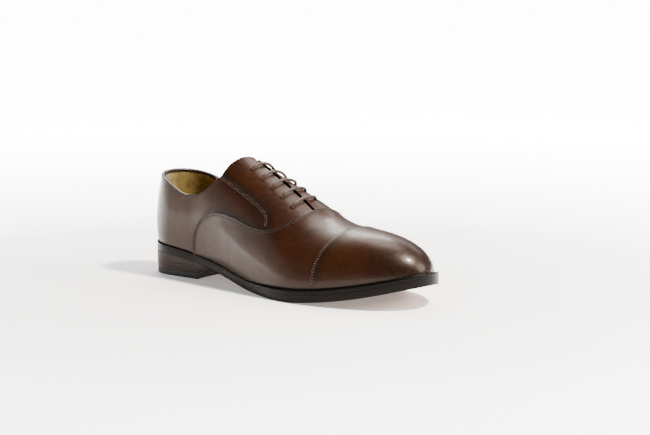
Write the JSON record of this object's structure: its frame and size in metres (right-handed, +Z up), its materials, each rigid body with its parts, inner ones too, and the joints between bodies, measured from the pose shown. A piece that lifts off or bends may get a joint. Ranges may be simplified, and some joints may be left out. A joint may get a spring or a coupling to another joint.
{
  "type": "leather oxford shoe",
  "caption": "Right-foot leather cap-toe oxford with closed lacing, welted sole, stacked heel and a hinged tongue under the facings.",
  "frame": {"origin": "on the floor, under the middle of the shoe's bounding box", "axes": "+X from heel to toe, +Y to the inner (medial) side of the right foot, +Z up"},
  "size_m": [0.3018, 0.1097, 0.1047],
  "materials": {
    "sole_leather": "waxed tan sole leather",
    "edge_black": "black waxed edge",
    "cork": "granulated cork paste",
    "steel": "blued spring steel",
    "insole_leather": "natural shoulder leather",
    "heel_rubber": "matt black rubber",
    "heel_leather": "black waxed leather lifts",
    "brass": "plain brass",
    "upper_leather": "burnished brown calf",
    "binding_leather": "dark brown folded calf",
    "stiffener": "leather-board stiffener",
    "canvas": "cotton drill",
    "lining_leather": "tan lining leather",
    "suede": "olive suede",
    "lace_cotton": "waxed brown cotton",
    "aglet_plastic": "brown acetate"
  },
  "bodies": {
    "shoe": {"outsole": "sole_leather", "welt": "edge_black", "heel_rand": "edge_black", "cork_filler": "cork", "shank": "steel", "insole": "insole_leather", "sock_liner": "lining_leather", "heel_top_piece": "heel_rubber", "heel_lift_1": "heel_leather", "heel_lift_2": "heel_leather", "heel_lift_3": "heel_leather", "heel_nails": "brass", "toe_cap": "upper_leather", "vamp": "upper_leather", "quarter_lateral": "upper_leather", "quarter_medial": "upper_leather", "facing_lateral": "upper_leather", "facing_medial": "upper_leather", "topline_binding": "binding_leather", "toe_puff": "stiffener", "heel_counter": "stiffener", "vamp_lining": "canvas", "quarter_lining_lateral": "lining_leather", "quarter_lining_medial": "lining_leather", "heel_grip": "suede", "blind_eyelets": "brass", "lace": "lace_cotton", "lace_aglets": "aglet_plastic", "tongue_tab": "upper_leather"},
    "tongue": {"tongue": "upper_leather", "tongue_lining": "lining_leather"}
  },
  "joints": [
    {"name": "tongue_hinge", "type": "hinge", "parent": "shoe", "child": "tongue", "pos_m": [0.02745, 0, 0.0634], "axis": [0, 1, 0], "range_deg": [-18, 0]}
  ]
}
